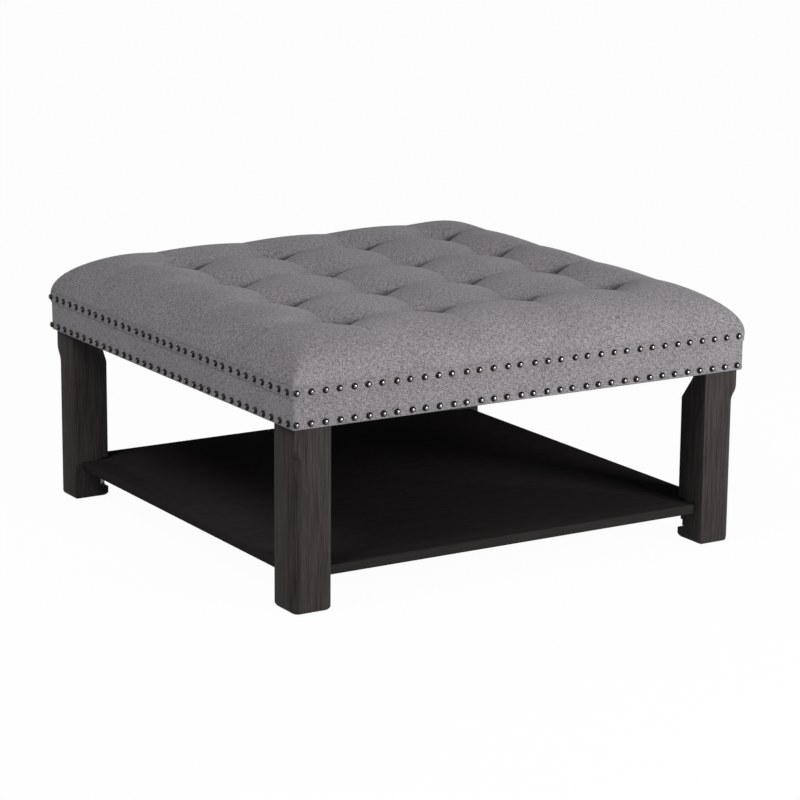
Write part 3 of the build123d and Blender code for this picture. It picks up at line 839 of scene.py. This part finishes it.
def dust_sheet():
    """A flat sheet less its four corners, sagging a little between its staples."""
    runs = np.linspace(-leg_clear, leg_clear, middle_lines)
    ends = np.linspace(leg_clear, dust_reach, end_lines)[1:]
    places = np.concatenate([-ends[::-1], runs, ends])
    x, y = np.meshgrid(places, places, indexing="ij")
    middle = np.clip(1 - np.abs(x) / sag_run, 0, 1) * np.clip(1 - np.abs(y) / sag_run, 0, 1)
    ripple = ripple_height * np.sin(x * ripples_x) * np.sin(y * ripples_y + ripple_phase) * middle
    z = dust_top - sag * middle ** sag_power + ripple
    mid_x, mid_y = (x[:-1, :-1] + x[1:, 1:]) / 2, (y[:-1, :-1] + y[1:, 1:]) / 2
    kept = ~((np.abs(mid_x) > leg_clear) & (np.abs(mid_y) > leg_clear))
    faces = grid_faces(len(places))[kept.ravel()]
    piece = mesh_piece("dust_sheet", np.stack([x, y, z], axis=-1), faces)
    pick(piece)
    bpy.ops.object.mode_set(mode="EDIT")
    bpy.ops.mesh.select_all(action="SELECT")
    bpy.ops.mesh.delete_loose()
    bpy.ops.object.mode_set(mode="OBJECT")
    thick = piece.modifiers.new("thickness", "SOLIDIFY")
    thick.thickness = dust_t
    thick.offset = -1
    bpy.ops.object.modifier_apply(modifier="thickness")
    bpy.ops.object.shade_smooth_by_angle(angle=math.radians(40))
    return piece


def black_cloth():
    """Matt black felted fibres."""
    material, start, place = new_finish("black non-woven cloth")
    felt = start.noise(place, scale=1400, detail=3)
    coat(start, height=felt, distance=0.0002, Roughness=0.9, Specular_IOR_Level=0.2,
         Base_Color=felt.tint((0.004, 0.004, 0.0045), (0.022, 0.022, 0.024)))
    return material


dust = dust_sheet()
clothe(dust, black_cloth())
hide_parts("dust_cover")
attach(dust, "root")

# Glides
# A round black nylon pad with a steel pin, driven into the foot of each leg.


def nylon():
    """Moulded black nylon with a faintly uneven skin."""
    material, start, place = new_finish("black nylon")
    skin = start.noise(place, scale=800)
    coat(start, height=skin, distance=0.0001, Base_Color=skin.tint((0.03, 0.03, 0.03), (0.06, 0.06, 0.06)),
         Roughness=0.45 + skin * 0.1)
    return material


clothe_nodes(nylon(), "leg_glides")

# The shelf
# One board of the same stained wood under a harder, smoother finish. Its corners go round the
# legs, and a steel angle under each corner carries it.
shelf = merged_copy("shelf_panel", "shelf_board", ease=0.0006)
shelf_stain = stained_wood("dark stain on the shelf", (0.035, 1, 1), roughness=0.35, specular=0.0,
                           tones=((0.018, 0.0165, 0.016), (0.034, 0.031, 0.03)))
clothe(shelf, shelf_stain)
black_zinc = zinc_plate("black zinc plate", (0.012, 0.012, 0.013), (0.03, 0.03, 0.032))
clothe_nodes(black_zinc, *("shelf_bracket_" + corner for corner in corners))
clothe_nodes(black_zinc, "shelf_bracket_screws", "shelf_leg_bolts")

# The studio
# A plain white floor that keeps a faint shadow, a soft lamp at the front right, a small one low
# beside it, a large one high on the left, and an even light from all round.
floor_white, even_light = 0.97, 0.205


def straight_view(start):
    """1 where a ray comes straight from the camera, off something shiny or through glass."""
    rays = ("Is Camera Ray", "Is Glossy Ray", "Is Transmission Ray")
    seen, glossy, through = (start.node("ShaderNodeLightPath", {}, ray) for ray in rays)
    return seen + glossy + through


def white_floor():
    """White in the camera's own view, so that only a little of the shadow is left."""
    material, start, place = new_finish("white floor")
    tree = start.tree
    grain = start.noise(place, scale=40)
    coat(start, Base_Color=grain.tint((0.78, 0.78, 0.78), (0.82, 0.82, 0.82)), Roughness=0.9)
    white = start.node("ShaderNodeEmission", {"Color": (1, 1, 1, 1), "Strength": 1})
    body = Wire(tree, tree.nodes["Principled BSDF"].outputs[0])
    share = straight_view(start) * floor_white
    mixed = start.node("ShaderNodeMixShader", {0: share, 1: body, 2: white})
    tree.links.new(mixed.socket, tree.nodes["Material Output"].inputs["Surface"])
    return material


bpy.ops.object.select_all(action="DESELECT")
bpy.ops.mesh.primitive_plane_add(size=30)
floor = bpy.context.object
floor.name = "floor"
clothe(floor, white_floor())

world = bpy.data.worlds.new("studio")
bpy.context.scene.world = world
world.use_nodes = True
air = Wire(world.node_tree)
direct = air.node("ShaderNodeClamp", {0: straight_view(air)})
strength = even_light + direct * (1 - even_light)
air.fill(world.node_tree.nodes["Background"], {"Color": (1, 1, 1, 1), "Strength": strength})


def lamp(name, place, target, size, watts):
    """A soft square lamp, aimed at a point of the table."""
    data = bpy.data.lights.new(name, "AREA")
    data.size = size
    data.energy = watts
    made = bpy.data.objects.new(name, data)
    bpy.context.scene.collection.objects.link(made)
    made.location = place
    made.rotation_euler = (Vector(target) - Vector(place)).to_track_quat("-Z", "Y").to_euler()


lamp("front lamp", place=(1.0, -2.9, 1.2), target=(0, 0, 0.35), size=1.0, watts=55)
lamp("low lamp", place=(1.2, -2.9, 0.45), target=(0, 0, 0.25), size=0.5, watts=14)
lamp("left lamp", place=(-2.2, -0.8, 3.0), target=(0, 0, 0.35), size=1.4, watts=54)

view = bpy.data.cameras.new("camera")
view.lens = 128.77
view.sensor_width = 36
camera = bpy.data.objects.new("camera", view)
bpy.context.scene.collection.objects.link(camera)
camera.location = (-2.50695, -4.09418, 1.34940)
yaw, pitch_up, roll = 0.554, -0.2331, 0.0086
level_share = math.cos(pitch_up)
ahead = Vector((math.sin(yaw) * level_share, math.cos(yaw) * level_share, math.sin(pitch_up)))
aside = Vector((math.cos(yaw), -math.sin(yaw), 0))
above = aside.cross(ahead)
right = aside * math.cos(roll) + above * math.sin(roll)
upward = above * math.cos(roll) - aside * math.sin(roll)
camera.rotation_euler = Matrix((right, upward, -ahead)).transposed().to_euler()
bpy.context.scene.camera = camera
bpy.context.scene.view_settings.view_transform = "Standard"
